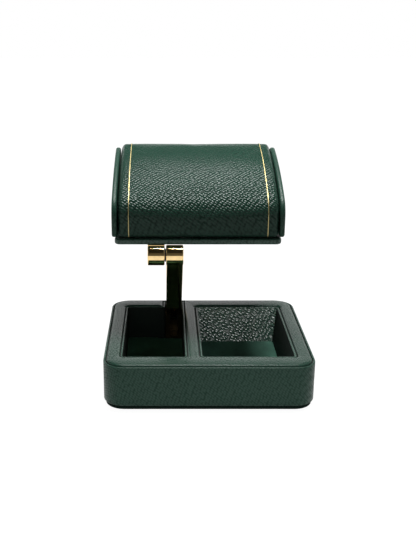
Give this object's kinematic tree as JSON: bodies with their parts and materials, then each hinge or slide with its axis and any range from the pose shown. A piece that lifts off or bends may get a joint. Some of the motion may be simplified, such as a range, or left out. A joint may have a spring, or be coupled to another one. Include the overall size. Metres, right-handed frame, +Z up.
{
  "type": "watch stand",
  "caption": "Leather-covered watch stand: a padded cushion for a closed watch strap on a folding brass arm, above a tray with compartments.",
  "frame": {"origin": "centre of the base's underside, on the surface it stands on", "axes": "+X to the right, +Y to the rear and +Z up, as seen by someone in front of the stand"},
  "size_m": [0.12, 0.1275, 0.1311],
  "materials": {
    "base_board": "dark leathercloth over the bottom board, fine grain",
    "board": "fibreboard, hidden under the leather",
    "wrap_leather": "dark green pebbled leather, satin",
    "rim_leather": "dark green pebbled leather, satin",
    "end_leather": "dark green pebbled leather over a board, satin",
    "pad_leather": "dark green pebbled leather over padding, satin",
    "tray_leather": "dark green coarsely pebbled leather, satin",
    "tray_floor": "smooth dark green lining",
    "lining": "smooth dark green lining",
    "brass": "polished",
    "gilt": "polished gilt strip",
    "washer": "matt black"
  },
  "bodies": {
    "root": {"bottom_board": "base_board", "carcass": "board", "outer_wrap": "wrap_leather", "rim_frame": "rim_leather", "left_liner": "lining", "right_liner": "tray_leather", "left_floor_pad": "lining", "right_floor_pad": "tray_floor", "arm_bracket": "brass", "bracket_screws": "brass", "lower_pin": "brass", "lower_washers": "washer"},
    "arm": {"arm_bar": "brass", "hinge_pin": "brass", "hinge_washer": "washer"},
    "cushion": {"hinge_knuckle": "brass", "hinge_cap": "brass", "hinge_screws": "brass", "cradle_plate": "wrap_leather", "end_plate_left": "end_leather", "end_plate_right": "end_leather", "cushion_body": "pad_leather", "gold_line_left": "gilt", "gold_line_right": "gilt"}
  },
  "joints": [
    {"name": "arm_fold", "type": "hinge", "parent": "root", "child": "arm", "pos_m": [-0.0192, 0.046, 0.0208], "axis": [1, 0, 0], "range_deg": [0, 50]},
    {"name": "cushion_tilt", "type": "hinge", "parent": "arm", "child": "cushion", "pos_m": [-0.0302, 0.00133, 0.07404], "axis": [1, 0, 0], "range_deg": [-50, 0]}
  ],
  "couplings": [
    {"joint": "cushion_tilt", "follows": "arm_fold", "ratio": -1}
  ]
}
